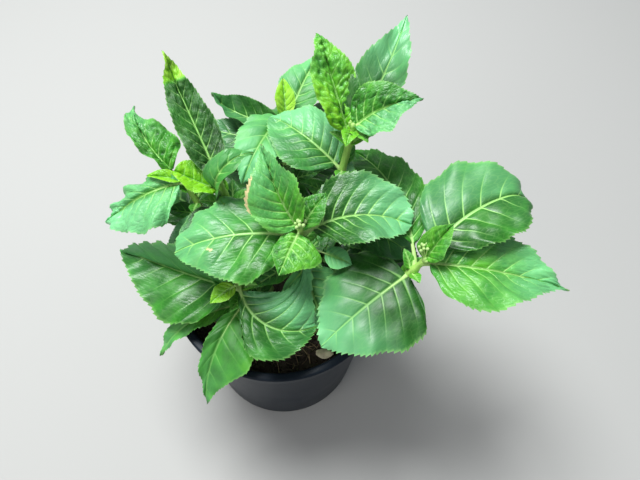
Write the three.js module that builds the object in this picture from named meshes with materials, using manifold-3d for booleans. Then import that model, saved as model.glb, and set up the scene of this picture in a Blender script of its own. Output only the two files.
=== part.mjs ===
// A young hydrangea shrub in a round nursery pot: pot, potting soil, seven stems and seven leafy shoots.
// Millimetres, +Z up. The origin is the middle of the pot's flat underside, +Y is the back of the plant.
import * as THREE from 'three';
import { mergeVertices } from 'three/addons/utils/BufferGeometryUtils.js';
import Module from 'manifold-3d';

const wasm = await Module();
wasm.setup();

// Driving sizes of the pot
const pot = {
  rimRadius: 118,
  height: 236,
  footRadius: 99,
  wall: 2.4,
  floor: 4,
  rimHeight: 13,
  rimOverhang: 4.5,
  edge: 3,
  sides: 44,
};
// The soil is filled to this depth under the rim and keeps clear of the wall
const soil = { belowRim: 24, shoulder: 12, shoulderDrop: 3 };
const soilTop = pot.height - soil.belowRim;
// Faces of two neighbours stay this far apart
const gap = 0.3;
// Stems stand on the soil and taper to the shoot's bud
const stem = {
  footRadius: 5,
  tipRadius: 3.2,
  flare: 2,
  flareEnd: 0.08,
  kneeHeight: 0.45,
  buried: 0.15,
  sides: 8,
  segments: 5,
};
// The bud is an egg on the tip of the stem, sized by the stem's radius there
const bud = { girth: 1.35, tall: 2, raised: 0.6, sides: 8, rings: 6 };
// A leaf's stalk runs on under the blade as its midrib
const stalk = { rootRadius: 2.3, endRadius: 1, under: 0.2, sides: 5, segments: 4 };
// Blades are solids thicker than a real leaf. Small ones take fewer faces.
const blade = {
  leastThickness: 1.5,
  thicknessShare: 1 / 85,
  rootWidth: 3,
  tipWidth: 1.2,
  pointed: 1.15,
  curlFrom: 0.65,
  rows: 7,
  columns: 4,
  smallUnder: 50,
  smallRows: 4,
  smallColumns: 2,
};
// Steps in which a leaf's line is added up
const steps = 48;

// One leaf: where it sits on the stem (0 soil, 1 bud), the compass heading of its chord, how far that
// rises, and the blade's length and width. The rest says how it bends, folds and rolls, in degrees.
function leaf(at, heading, rise, length, width, more = {}) {
  return { at, heading, rise, length, width, bend: 35, fold: 12, cup: 15, roll: 0, sway: 0, curl: 0,
    stalk: 10, peak: 0.42, full: 0.62, ...more };
}

// Each shoot: its foot on the soil, the bud at its tip, where its leafy part starts, and its leaves
const shoots = {
  centre: { foot: [14, -18], tip: [24, -8, 352], lean: 0.5, leafyFrom: 0.45, leaves: [
    leaf(0.9, 189, -6, 112, 92, { bend: 45, fold: 8, cup: 30, full: 0.55, sway: 16 }),
    leaf(0.9, 9, 1, 96, 84, { bend: 50, fold: 26, sway: -45, stalk: 14, peak: 0.5 }),
    leaf(0.97, 123, 36, 80, 62, { bend: 30, fold: 38, cup: 20, roll: 28, sway: -20, stalk: 4 }),
    leaf(0.97, 250, -8, 42, 52, { bend: 45, fold: 5, cup: 30, stalk: 6 }),
    leaf(0.99, 32, 34, 34, 24, { bend: 20, fold: 20, cup: 20, stalk: 4 }),
    leaf(0.6, 288, -28, 58, 54, { bend: 30, fold: 8, cup: 20, stalk: 12 }),
    leaf(0.55, 12, -2, 80, 56, { fold: 8, cup: 20, stalk: 14 }),
    leaf(0.8, 345, -4, 26, 22, { fold: 8, cup: 20, stalk: 26 }),
  ] },
  right: { foot: [34, -56], tip: [136, -30, 345], lean: 0.75, leafyFrom: 0.38, leaves: [
    leaf(0.97, 33, 9, 121, 100, { bend: 40, cup: 25, sway: -42, stalk: 21 }),
    leaf(0.97, 356, -8, 137, 90, { fold: 16, stalk: 7, peak: 0.33 }),
    leaf(0.99, 46, 48, 42, 32, { bend: 15, fold: 35, cup: 10, stalk: 3 }),
    leaf(0.9, 113, -7, 132, 57, { bend: 40, fold: 18, cup: 10, sway: 40, stalk: 24, peak: 0.5 }),
    leaf(0.84, 220, -17, 106, 106, { fold: 5, cup: 25, stalk: 3, peak: 0.38, full: 0.5 }),
    leaf(0.5, 70, -18, 104, 64, { bend: 45, fold: 8, stalk: 12 }),
    leaf(0.45, 105, -24, 100, 64, { bend: 45, fold: 8, stalk: 14 }),
  ] },
  upper_right: { foot: [30, 8], tip: [66, 82, 388], lean: 0.7, leafyFrom: 0.36, leaves: [
    leaf(0.92, 118, 38, 92, 42, { bend: 20, fold: 22, cup: 10 }),
    leaf(0.97, 63, 32, 108, 50, { fold: 20, cup: 10, sway: 20, stalk: 12 }),
    leaf(0.9, 34, 9, 86, 62, { fold: 30, cup: 0, sway: -35, stalk: 4 }),
    leaf(0.74, 142, 8, 100, 78, { bend: 45, stalk: 8 }),
    leaf(0.45, 40, -14, 104, 66, { bend: 45, fold: 8, stalk: 12 }),
    leaf(0.45, 335, -2, 92, 58, { bend: 45, fold: 8, stalk: 12 }),
    leaf(0.55, 0, -8, 100, 64, { bend: 45, fold: 8, stalk: 14 }),
    leaf(0.42, 165, -8, 100, 64, { bend: 45, fold: 8, stalk: 14 }),
  ] },
  left: { foot: [-34, 6], tip: [-98, 56, 325], lean: 0.75, leafyFrom: 0.38, leaves: [
    leaf(0.97, 128, 11, 110, 41, { bend: 25, fold: 22, cup: 10, sway: -48, stalk: 8 }),
    leaf(0.97, 212, -31, 104, 70, { bend: 50, fold: 8, cup: 20, stalk: 6 }),
    leaf(0.9, 168, -4, 36, 16, { bend: 30, fold: 40, cup: 0, stalk: 4 }),
    leaf(0.5, 140, -16, 104, 64, { bend: 45, fold: 8, stalk: 12 }),
    leaf(0.45, 285, -24, 100, 64, { bend: 45, fold: 8, stalk: 14 }),
  ] },
  left_centre: { foot: [-14, -8], tip: [-56, 40, 345], lean: 0.7, leafyFrom: 0.5, leaves: [
    leaf(0.97, 122, 29, 130, 40, { bend: 10, fold: 18, cup: 10, curl: -50, stalk: 8 }),
    leaf(0.93, 160, 18, 44, 26, { bend: -60, fold: 40, cup: 0, stalk: 5 }),
    leaf(0.9, 70, 30, 55, 26, { bend: 120, fold: 25, cup: 0, stalk: 8 }),
    leaf(0.8, 206, -36, 76, 36, { bend: 40, fold: 10, cup: 10, stalk: 20 }),
    leaf(0.75, 225, -5, 60, 44, { bend: 40, fold: 10, cup: 10, stalk: 6 }),
  ] },
  back: { foot: [2, 30], tip: [-3, 146, 326], lean: 0.8, leafyFrom: 0.36, leaves: [
    leaf(0.88, 161, 7, 90, 46, { bend: -10, fold: 35, cup: 0, roll: 10, stalk: 8 }),
    leaf(0.7, 170, 7, 94, 58, { bend: 30, fold: 8, cup: 10, stalk: 8 }),
    leaf(0.95, 70, 14, 84, 50, { bend: 30, fold: 10, cup: 10, stalk: 8 }),
    leaf(0.98, 100, 44, 40, 26, { bend: 30, fold: 30, cup: 0, stalk: 4 }),
    leaf(0.93, 260, 4, 60, 50, { stalk: 6 }),
    leaf(0.82, 249, 4, 90, 56, { fold: 8, stalk: 16 }),
    leaf(0.5, 100, -12, 112, 70, { bend: 45, fold: 8, stalk: 14 }),
    leaf(0.42, 40, -12, 104, 74, { bend: 45, fold: 8, stalk: 14 }),
    leaf(0.43, 150, -16, 100, 64, { bend: 45, fold: 8, stalk: 14 }),
    leaf(0.68, 45, 0, 100, 64, { bend: 45, fold: 8, stalk: 14 }),
    leaf(0.68, 90, -16, 100, 64, { bend: 45, fold: 8, stalk: 14 }),
  ] },
  front: { foot: [-12, -38], tip: [-34, -44, 300], lean: 0.6, leafyFrom: 0.3, leaves: [
    leaf(0.85, 161, -8, 138, 104, { bend: -25, fold: 44, cup: 10, roll: 48, sway: -20 }),
    leaf(0.97, 357, -9, 92, 96, { fold: 8, cup: 10, sway: 100, stalk: 6 }),
    leaf(0.6, 249, -26, 106, 50, { bend: 80, fold: 8, cup: 10, stalk: 16 }),
    leaf(0.4, 206, -20, 110, 38, { bend: 70, fold: 10, cup: 10, stalk: 24 }),
    leaf(0.99, 222, 0, 28, 20, { bend: 40, fold: 20, cup: 0, stalk: 4 }),
  ] },
};

const looks = {
  pot: { color: 0x2f3a46, roughness: 0.45 },
  soil: { color: 0x2b211a, roughness: 0.95 },
  stem: { color: 0x8fa35a, roughness: 0.6 },
  leaf: { color: 0x4f9a48, roughness: 0.5 },
};

// Solids for joining: only positions are kept, and shared vertices are merged
function toSolid(geometry) {
  geometry.deleteAttribute('normal');
  geometry.deleteAttribute('uv');
  const merged = mergeVertices(geometry, 1e-4);
  return new wasm.Manifold(new wasm.Mesh({
    numProp: 3,
    vertProperties: new Float32Array(merged.attributes.position.array),
    triVerts: new Uint32Array(merged.index.array),
  }));
}

function toGeometry(solid) {
  const mesh = solid.getMesh();
  const geometry = new THREE.BufferGeometry();
  geometry.setAttribute('position', new THREE.BufferAttribute(mesh.vertProperties, 3));
  geometry.setIndex(new THREE.BufferAttribute(mesh.triVerts, 1));
  geometry.computeVertexNormals();
  return geometry;
}

// A stem leans out from its foot and turns up under its bud
function stemCurve(shoot) {
  const foot = new THREE.Vector3(...shoot.foot, soilTop + gap);
  const tip = new THREE.Vector3(...shoot.tip);
  const lean = new THREE.Vector3(shoot.lean, shoot.lean, stem.kneeHeight);
  const knee = tip.clone().sub(foot).multiply(lean).add(foot);
  return new THREE.QuadraticBezierCurve3(foot, knee, tip);
}

// A round limb along a route of { point, up, across } frames, with its radius at each place
function limb(frameAt, from, to, radiusAt, sides, segments) {
  const geometry = new THREE.CylinderGeometry(1, 1, 1, sides, segments);
  const place = geometry.attributes.position;
  const vertex = new THREE.Vector3();
  for (let i = 0; i < place.count; i++) {
    vertex.fromBufferAttribute(place, i);
    const where = from + (to - from) * (0.5 - vertex.y);
    const frame = frameAt(where);
    const radius = radiusAt(where);
    const spot = frame.point.clone()
      .addScaledVector(frame.across, vertex.x * radius)
      .addScaledVector(frame.up, vertex.z * radius);
    place.setXYZ(i, spot.x, spot.y, spot.z);
  }
  return outward(geometry);
}

// Turns a mesh inside out where its faces point in
function outward(geometry) {
  const place = geometry.attributes.position;
  const index = geometry.index.array;
  const [a, b, c] = [new THREE.Vector3(), new THREE.Vector3(), new THREE.Vector3()];
  let volume = 0;
  for (let i = 0; i < index.length; i += 3) {
    a.fromBufferAttribute(place, index[i]);
    b.fromBufferAttribute(place, index[i + 1]);
    c.fromBufferAttribute(place, index[i + 2]);
    volume += a.dot(b.cross(c));
  }
  if (volume < 0) {
    for (let i = 0; i < index.length; i += 3) {
      [index[i + 1], index[i + 2]] = [index[i + 2], index[i + 1]];
    }
  }
  return geometry;
}

function stemFrames(curve) {
  const sideways = new THREE.Vector3(1, 0, 0);
  const step = 0.001;
  return (part) => {
    const along = curve.getPoint(part + step).sub(curve.getPoint(part - step)).normalize();
    const up = along.clone().cross(sideways).normalize();
    return { point: curve.getPoint(part), up, across: up.clone().cross(along) };
  };
}

// The line of a leaf from its root on the stem to the blade's tip, as frames by distance
function leafFrames(root, spec) {
  const heading = THREE.MathUtils.degToRad(spec.heading);
  const rise = THREE.MathUtils.degToRad(spec.rise);
  const roll = THREE.MathUtils.degToRad(spec.roll);
  const chord = new THREE.Vector3(
    Math.cos(rise) * Math.cos(heading), Math.cos(rise) * Math.sin(heading), Math.sin(rise));
  const level = new THREE.Vector3(
    -Math.sin(rise) * Math.cos(heading), -Math.sin(rise) * Math.sin(heading), Math.cos(rise));
  const left = level.clone().cross(chord);
  const up = level.clone().multiplyScalar(Math.cos(roll)).addScaledVector(left, Math.sin(roll));
  const side = left.clone().multiplyScalar(Math.cos(roll)).addScaledVector(level, -Math.sin(roll));
  const total = spec.stalk + spec.length;

  const directionAt = (part) => {
    const late = THREE.MathUtils.smoothstep(part, blade.curlFrom, 1);
    const pitch = THREE.MathUtils.degToRad(spec.bend * (0.5 - part) - spec.curl * late);
    const yaw = THREE.MathUtils.degToRad(spec.sway * (part - 0.5));
    return chord.clone().multiplyScalar(Math.cos(pitch) * Math.cos(yaw))
      .addScaledVector(up, Math.sin(pitch))
      .addScaledVector(side, Math.cos(pitch) * Math.sin(yaw));
  };
  const points = [root.clone()];
  for (let i = 0; i < steps; i++) {
    points.push(points[i].clone().addScaledVector(directionAt((i + 0.5) / steps), total / steps));
  }
  return (distance) => {
    const part = THREE.MathUtils.clamp(distance / total, 0, 1);
    const i = Math.min(Math.floor(part * steps), steps - 1);
    const along = directionAt(part);
    const over = up.clone().addScaledVector(along, -up.dot(along)).normalize();
    return {
      point: points[i].clone().lerp(points[i + 1], part * steps - i),
      up: over,
      across: over.clone().cross(along),
    };
  };
}

// Half the blade's width at a part of its length: ovate, widest at the peak, drawn out to a point
function halfWidth(spec, part) {
  const fall = spec.full * (1 - spec.peak) / spec.peak * blade.pointed;
  const shape = part <= 0 || part >= 1 ? 0
    : (part / spec.peak) ** spec.full * ((1 - part) / (1 - spec.peak)) ** fall;
  const least = THREE.MathUtils.lerp(blade.rootWidth, blade.tipWidth, part) / 2;
  return Math.max(spec.width / 2 * shape, least);
}

// The blade is a thin box, drawn to its outline, folded at the midrib and laid along the leaf's line
function bladeSolid(spec, frameAt) {
  const small = spec.length < blade.smallUnder;
  const rows = small ? blade.smallRows : blade.rows;
  const columns = small ? blade.smallColumns : blade.columns;
  const thickness = Math.max(blade.leastThickness, spec.length * blade.thicknessShare);
  const geometry = new THREE.BoxGeometry(1, 2, thickness, rows, columns, 1);
  const place = geometry.attributes.position;
  const vertex = new THREE.Vector3();
  for (let i = 0; i < place.count; i++) {
    vertex.fromBufferAttribute(place, i);
    const part = vertex.x + 0.5;
    const out = Math.abs(vertex.y) * halfWidth(spec, part);
    const share = out / (spec.width / 2);
    const lift = THREE.MathUtils.degToRad(spec.fold - spec.cup * share / 2);
    const slope = THREE.MathUtils.degToRad(spec.fold - spec.cup * share);
    const sideways = Math.sign(vertex.y) * (out * Math.cos(lift) - vertex.z * Math.sin(slope));
    const frame = frameAt(spec.stalk + part * spec.length);
    const spot = frame.point.clone()
      .addScaledVector(frame.across, sideways)
      .addScaledVector(frame.up, out * Math.sin(lift) + vertex.z * Math.cos(slope));
    place.setXYZ(i, spot.x, spot.y, spot.z);
  }
  return toSolid(outward(geometry));
}

function leafSolid(curve, spec) {
  const frameAt = leafFrames(curve.getPoint(spec.at), spec);
  const reach = spec.stalk + spec.length * stalk.under;
  const radiusAt = (distance) => THREE.MathUtils.lerp(stalk.rootRadius, stalk.endRadius, distance / reach);
  const rib = limb(frameAt, 0, reach, radiusAt, stalk.sides, stalk.segments);
  return bladeSolid(spec, frameAt).add(toSolid(rib));
}

// The closed bud at the tip of a shoot
function budSolid(curve) {
  const geometry = new THREE.SphereGeometry(stem.tipRadius * bud.girth, bud.sides, bud.rings);
  geometry.scale(1, 1, bud.tall);
  const tip = curve.getPoint(1);
  geometry.translate(tip.x, tip.y, tip.z + stem.tipRadius * bud.raised);
  return toSolid(geometry);
}

// Stems taper evenly and swell a little where they leave the soil
function stemRadius(part) {
  const swell = THREE.MathUtils.clamp(1 - part / stem.flareEnd, 0, 1);
  return THREE.MathUtils.lerp(stem.footRadius, stem.tipRadius, part) + stem.flare * swell ** 2;
}

function stemPiece(curve, from, to) {
  return toSolid(limb(stemFrames(curve), from, to, stemRadius, stem.sides, stem.segments));
}

// The bare part of a stem, cut off flat just above the soil
function boughGeometry(shoot) {
  const whole = stemPiece(stemCurve(shoot), -stem.buried, shoot.leafyFrom);
  const above = new THREE.BoxGeometry(pot.rimRadius * 4, pot.rimRadius * 4, pot.height * 2);
  above.translate(0, 0, soilTop + gap + pot.height);
  return toGeometry(whole.intersect(toSolid(above)));
}

// A leafy shoot: the upper stem, every leaf fused to it, and the bud
function foliageGeometry(shoot) {
  const curve = stemCurve(shoot);
  const start = shoot.leafyFrom + gap / curve.getLength();
  let whole = stemPiece(curve, start, 1).add(budSolid(curve));
  for (const spec of shoot.leaves) {
    whole = whole.add(leafSolid(curve, spec));
  }
  return toGeometry(whole);
}

function potGeometry() {
  const { rimRadius, height, footRadius, wall, floor, rimHeight, rimOverhang, edge } = pot;
  const neck = rimRadius - rimOverhang;
  const under = height - rimHeight;
  const profile = [
    [0, 0],
    [footRadius - edge, 0],
    [footRadius, edge],
    [neck - edge, under],
    [rimRadius - edge / 3, under],
    [rimRadius, height - edge],
    [rimRadius - edge / 2, height - edge / 5],
    [rimRadius - edge, height],
    [neck - wall - edge / 2, height - edge / 4],
    [neck - wall - edge, height - edge],
    [footRadius - wall, floor],
    [0, floor],
  ];
  const points = profile.map(([radius, z]) => new THREE.Vector2(radius, z));
  return outward(new THREE.LatheGeometry(points, pot.sides).rotateX(Math.PI / 2));
}

// Radius of the pot's inner wall at a height
function innerRadius(z) {
  const { rimRadius, height, footRadius, wall, floor, rimOverhang, edge } = pot;
  const share = (z - floor) / (height - edge - floor);
  return THREE.MathUtils.lerp(footRadius - wall, rimRadius - rimOverhang - wall - edge, share);
}

function soilGeometry() {
  const bottom = pot.floor + gap;
  const edge = soilTop - soil.shoulderDrop;
  const points = [
    [0, bottom],
    [innerRadius(bottom) - gap * 2, bottom],
    [innerRadius(edge) - gap * 2, edge],
    [innerRadius(edge) - soil.shoulder, soilTop],
    [0, soilTop],
  ].map(([radius, z]) => new THREE.Vector2(radius, z));
  return outward(new THREE.LatheGeometry(points, pot.sides).rotateX(Math.PI / 2));
}

function piece(name, geometry, look) {
  const mesh = new THREE.Mesh(geometry, new THREE.MeshStandardMaterial({ ...look, metalness: 0 }));
  mesh.name = name;
  return mesh;
}

const plant = new THREE.Group();
plant.add(piece('pot', potGeometry(), looks.pot));
plant.add(piece('potting_soil', soilGeometry(), looks.soil));
for (const [name, shoot] of Object.entries(shoots)) {
  plant.add(piece(`stem_${name}`, boughGeometry(shoot), looks.stem));
  plant.add(piece(`foliage_${name}`, foliageGeometry(shoot), looks.leaf));
}

export default plant;
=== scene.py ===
import math

import bpy
import numpy as np
from mathutils import Matrix, Vector


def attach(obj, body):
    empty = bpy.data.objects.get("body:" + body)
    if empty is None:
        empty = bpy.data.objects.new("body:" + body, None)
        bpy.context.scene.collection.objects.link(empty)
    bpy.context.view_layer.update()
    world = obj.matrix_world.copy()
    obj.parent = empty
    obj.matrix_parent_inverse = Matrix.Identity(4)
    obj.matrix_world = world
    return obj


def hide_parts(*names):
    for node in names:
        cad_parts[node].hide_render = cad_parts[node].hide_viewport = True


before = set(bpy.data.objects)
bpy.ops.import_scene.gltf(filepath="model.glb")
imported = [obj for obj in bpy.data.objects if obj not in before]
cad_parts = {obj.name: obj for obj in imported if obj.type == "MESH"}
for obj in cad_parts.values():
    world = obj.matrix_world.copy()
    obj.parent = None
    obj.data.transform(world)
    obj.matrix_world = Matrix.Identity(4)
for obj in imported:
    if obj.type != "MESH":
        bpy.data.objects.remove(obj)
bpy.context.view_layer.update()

mm = 0.001
scene = bpy.context.scene
seed = 7


# The camera stands over the front of the pot and looks down into the plant, a little rolled
cameraView = {
    "place": (42, -252, 763),
    "down": 60.5,
    "roll": 3.5,
    "sensor": 36,
    "focal": 530 / 640,  # of the sensor's width
}


def makeCamera():
    down = math.radians(cameraView["down"])
    roll = math.radians(cameraView["roll"])
    ahead = Vector((0, math.cos(down), -math.sin(down)))
    level = Vector((1, 0, 0))
    upright = level.cross(ahead)
    right = level * math.cos(roll) + upright * math.sin(roll)
    up = upright * math.cos(roll) - level * math.sin(roll)
    data = bpy.data.cameras.new("camera")
    data.sensor_width = cameraView["sensor"]
    data.lens = cameraView["focal"] * cameraView["sensor"]
    camera = bpy.data.objects.new("camera", data)
    turn = Matrix((right, up, -ahead)).transposed().to_4x4()
    camera.matrix_world = Matrix.Translation(Vector(cameraView["place"]) * mm) @ turn
    scene.collection.objects.link(camera)
    scene.camera = camera


# Soft daylight: a wide light over the back of the plant, a fill from the front left, and a pale sky
lights = {
    "sky": {"place": (-560, 620, 2400), "size": 1200, "power": 83, "color": (0.95, 0.99, 1.0)},
    "fill": {"place": (-1300, -1500, 1700), "size": 1800, "power": 13, "color": (1.0, 0.98, 0.95)},
    "aim": (30, 30, 280),
    "world": (0.86, 0.92, 1.0),
    "worldStrength": 0.30,
    "floorColor": (0.50, 0.49, 0.47),
    "floorSize": 7000,
}


def makeLights():
    for name in ("sky", "fill"):
        spec = lights[name]
        data = bpy.data.lights.new(name, "AREA")
        data.shape = "DISK"
        data.size = spec["size"] * mm
        data.energy = spec["power"]
        data.color = spec["color"]
        lamp = bpy.data.objects.new(name, data)
        lamp.location = Vector(spec["place"]) * mm
        toward = Vector(lights["aim"]) * mm - lamp.location
        lamp.rotation_euler = toward.to_track_quat("-Z", "Y").to_euler()
        scene.collection.objects.link(lamp)
    world = bpy.data.worlds.new("daylight")
    world.use_nodes = True
    background = world.node_tree.nodes["Background"]
    background.inputs["Color"].default_value = (*lights["world"], 1)
    background.inputs["Strength"].default_value = lights["worldStrength"]
    scene.world = world
    scene.view_settings.view_transform = "Standard"  # the leaves keep their full green


# A small way to write node materials: each call adds a node and joins its inputs
class Paint:
    def __init__(self, name):
        self.material = bpy.data.materials.new(name)
        self.material.use_nodes = True
        self.tree = self.material.node_tree
        self.shader = self.tree.nodes["Principled BSDF"]

    def feed(self, socket, value):
        if isinstance(value, bpy.types.NodeSocket):
            self.tree.links.new(value, socket)
        elif isinstance(value, tuple) and len(value) == 3 and socket.type == "RGBA":
            socket.default_value = (*value, 1)
        else:
            socket.default_value = value

    def add(self, kind, inputs=None, output=0, **settings):
        node = self.tree.nodes.new(kind)
        for key, value in settings.items():
            setattr(node, key, value)
        for key, value in (inputs or {}).items():
            self.feed(node.inputs[key], value)
        return node.outputs[output]

    def attribute(self, name, output="Fac"):
        return self.add("ShaderNodeAttribute", attribute_name=name, output=output)

    def math(self, operation, first, second=0.0):
        return self.add("ShaderNodeMath", {0: first, 1: second}, operation=operation)

    def fit(self, value, low, high, outLow=0.0, outHigh=1.0, smooth=False):
        kind = "SMOOTHSTEP" if smooth else "LINEAR"
        spans = {"Value": value, "From Min": low, "From Max": high, "To Min": outLow, "To Max": outHigh}
        return self.add("ShaderNodeMapRange", spans, interpolation_type=kind)

    def noise(self, place, scale, detail=3.0, rough=0.55):
        looks = {"Vector": place, "Scale": scale, "Detail": detail, "Roughness": rough}
        return self.add("ShaderNodeTexNoise", looks)

    def cells(self, place, scale, feature="DISTANCE_TO_EDGE"):
        return self.add("ShaderNodeTexVoronoi", {"Vector": place, "Scale": scale},
                        output="Distance", feature=feature)

    def mix(self, share, first, second, blend="MIX"):
        node = self.tree.nodes.new("ShaderNodeMix")
        node.data_type = "RGBA"
        node.blend_type = blend
        self.feed(node.inputs[0], share)
        self.feed(node.inputs[6], first)
        self.feed(node.inputs[7], second)
        return node.outputs[2]

    def ramp(self, value, stops):
        node = self.tree.nodes.new("ShaderNodeValToRGB")
        while len(node.color_ramp.elements) < len(stops):
            node.color_ramp.elements.new(0.5)
        for element, (place, color) in zip(node.color_ramp.elements, stops):
            element.position = place
            element.color = (*color, 1)
        self.feed(node.inputs[0], value)
        return node.outputs[0]

    def bump(self, height, depth, strength=1.0, normal=None):
        inputs = {"Height": height, "Distance": depth * mm, "Strength": strength}
        if normal is not None:
            inputs["Normal"] = normal
        return self.add("ShaderNodeBump", inputs)

    def objectPlace(self):
        return self.add("ShaderNodeTexCoord", output="Object")

    def finish(self, **inputs):
        for key, value in inputs.items():
            self.feed(self.shader.inputs[key.replace("_", " ")], value)
        return self.material


# Meshes come from arrays of points and faces; faces of three or four corners may be mixed
def makeMesh(name, points, faces, material, smooth=True):
    mesh = bpy.data.meshes.new(name)
    mesh.vertices.add(len(points))
    mesh.vertices.foreach_set("co", (np.asarray(points) * mm).astype(np.float32).ravel())
    groups = [np.asarray(group) for group in faces if len(group)]
    corners = np.concatenate([group.ravel() for group in groups]).astype(np.int32)
    sizes = np.concatenate([np.full(len(group), group.shape[1]) for group in groups])
    starts = np.concatenate([[0], np.cumsum(sizes)[:-1]]).astype(np.int32)
    mesh.loops.add(len(corners))
    mesh.loops.foreach_set("vertex_index", corners)
    mesh.polygons.add(len(sizes))
    mesh.polygons.foreach_set("loop_start", starts)
    mesh.update(calc_edges=True)
    mesh.polygons.foreach_set("use_smooth", np.full(len(sizes), smooth))
    mesh.materials.append(material)
    piece = bpy.data.objects.new(name, mesh)
    scene.collection.objects.link(piece)
    return piece


def setAttribute(piece, name, values, domain="POINT"):
    kind = "FLOAT_VECTOR" if np.ndim(values) == 2 else "FLOAT"
    attribute = piece.data.attributes.new(name, kind, domain)
    key = "vector" if kind == "FLOAT_VECTOR" else "value"
    attribute.data.foreach_set(key, np.asarray(values, np.float32).ravel())


def finishPiece(piece, nodes=()):
    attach(piece, "root")
    if nodes:
        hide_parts(*nodes)


# The parts of a joined piece: points, faces and attributes are gathered and numbered on
class Heap:
    def __init__(self):
        self.points = []
        self.quads = []
        self.triangles = []
        self.values = {}
        self.count = 0

    def add(self, points, quads=(), triangles=(), **values):
        self.points.append(points)
        if len(quads):
            self.quads.append(np.asarray(quads) + self.count)
        if len(triangles):
            self.triangles.append(np.asarray(triangles) + self.count)
        for key, value in values.items():
            whole = np.broadcast_to(value, (len(points),) + np.shape(value)[1:])
            self.values.setdefault(key, []).append(np.array(whole))
        self.count += len(points)

    def piece(self, name, material):
        faces = [np.concatenate(group) for group in (self.quads, self.triangles) if group]
        made = makeMesh(name, np.concatenate(self.points), faces, material)
        for key, parts in self.values.items():
            setAttribute(made, key, np.concatenate(parts))
        return made


def smoothStep(low, high, value):
    share = np.clip((value - low) / (high - low), 0, 1)
    return share * share * (3 - 2 * share)


def unit(vectors):
    return vectors / np.linalg.norm(vectors, axis=-1, keepdims=True)


# The pot and its soil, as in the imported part
pot = {
    "rimRadius": 118,
    "height": 236,
    "footRadius": 99,
    "wall": 2.4,
    "floor": 4,
    "rimHeight": 13,
    "rimOverhang": 4.5,
    "edge": 3,
    "around": 180,
    "ringStep": 12,
    "color": (0.011, 0.017, 0.026),
    "dust": (0.07, 0.08, 0.09),
    "grain": 900.0,
    "clouds": 9.0,
    "spots": 60.0,
    "splashes": 75.0,
    "reliefDepth": 0.12,
    "gleam": 0.1,
}
soil = {
    "belowRim": 24,
    "sunk": 1.5,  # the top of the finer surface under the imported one
    "wallGap": 0.6,
    "overFloor": 2.4,
    "lumps": 1.92,
    "lumpLength": 60,
    "lumpLayers": 26,
    "around": 260,
    "rings": 90,
    "looseRadius": 104,
    "crumbs": 1500,
    "crumbSizes": (0.8, 4.2),
    "fibres": 420,
    "fibreLengths": (4, 20),
    "fibreRadii": (0.25, 0.6),
    "dark": (0.022, 0.015, 0.010),
    "brown": (0.085, 0.064, 0.046),
    "straw": (0.42, 0.31, 0.18),
    "clods": 55.0,
    "grit": 420.0,
    "reliefDepth": 2.5,
}
soilTop = pot["height"] - soil["belowRim"]

# Places on a stem, such as leafyFrom, flareEnd and nodeLength, are shares of its length
stem = {
    "footRadius": 5,
    "tipRadius": 3.2,
    "flare": 2,
    "flareEnd": 0.08,
    "tipTaper": 0.45,
    "taperFrom": 0.9,
    "kneeHeight": 0.45,
    "soilGap": 0.3,
    "sunk": 0.02,  # how far the foot goes down into the soil
    "overlap": 0.002,
    "sides": 20,
    "step": 2.5,
    "nodeSwell": 0.14,
    "nodeLength": 0.022,
    "ridges": ((3, 0.035), (5, 0.02)),  # how many round the stem, and how high
    "roughness": 0.012,
}


# A leaf of its own: where it sits on the stem as a share of its length, the heading and rise of the
# leaf's chord in degrees, and the blade's length and width. What isn't said is as in leafHabit.
leafHabit = {
    "stalk": 10,
    "bend": 35,  # degrees that it turns down from root to tip
    "sway": 0,  # degrees that it turns to the left
    "curl": 0,  # degrees that the tip turns down besides
    "roll": 0,  # degrees that it leans over to the left
    "fold": 12,  # degrees that each half stands up from the midrib
    "cup": 15,  # degrees that the margin comes down again
    "peak": 0.42,  # the blade is widest a little before this share of its length
    "full": 0.62,  # low for a blunt base and tip, high for pointed ones
    "skew": 0.0,  # how far the midrib stands to the left
    "halves": (1.0, 1.0),  # width of the left and right half
    "tipPinch": (0.0, 0.0),  # how much each half draws in towards the tip
    "basePinch": (0.0, 0.0),
    "shoulder": (0.0, 0.0),  # how much each half widens beyond the middle
    "sweep": (0.0, 0.0),  # how far each half leans forward
    "teeth": 0.75,
    "ruffle": 1.0,  # waves of the margin
    "moreVeins": 0,  # pairs
    "puff": 1.0,  # smooth under 0.5, puckered at 1, crumpled from 1.2 on
    "tone": 0.42,  # dark at 0, mature green at 0.45, young yellow-green at 1
    # lighter tip: partly the young tip's paler green, partly painted light for the glow of light shining
    # through a curled tip
    "tipTone": 0.0,  # added to the tone at the tip
    # painted sheen: a pale mint wash on the tip and on each half, standing in for the sky's reflection on the
    # glossy blade
    "bloom": (0.35, 0.0, 0.0),  # lighter tip, left half and right half
    "veins": 0.75,  # how pale they are
    "matte": 0.0,
    "spots": (),  # dry flecks as distance along, to the left, and radius
    "dryEdge": None,  # dry stretch of the left margin, as shares of the length
}
# leaves that get no painted sheen
noPaintedSheen = (0.0, 0.0, 0.0)


def leaf(at, heading, rise, length, width, **more):
    return {**leafHabit, **more, "at": at, "heading": heading, "rise": rise, "length": length, "width": width}


# A large leaf low on the stem, out of the light
def lowLeaf(at, heading, rise, length=100, width=64, stalk=14):
    return leaf(at, heading, rise, length, width, bend=45, fold=8, stalk=stalk, tone=0.3)


# the sheen settings of these leaves are painted sheen: pale mint where the sky's reflection would lie
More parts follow.
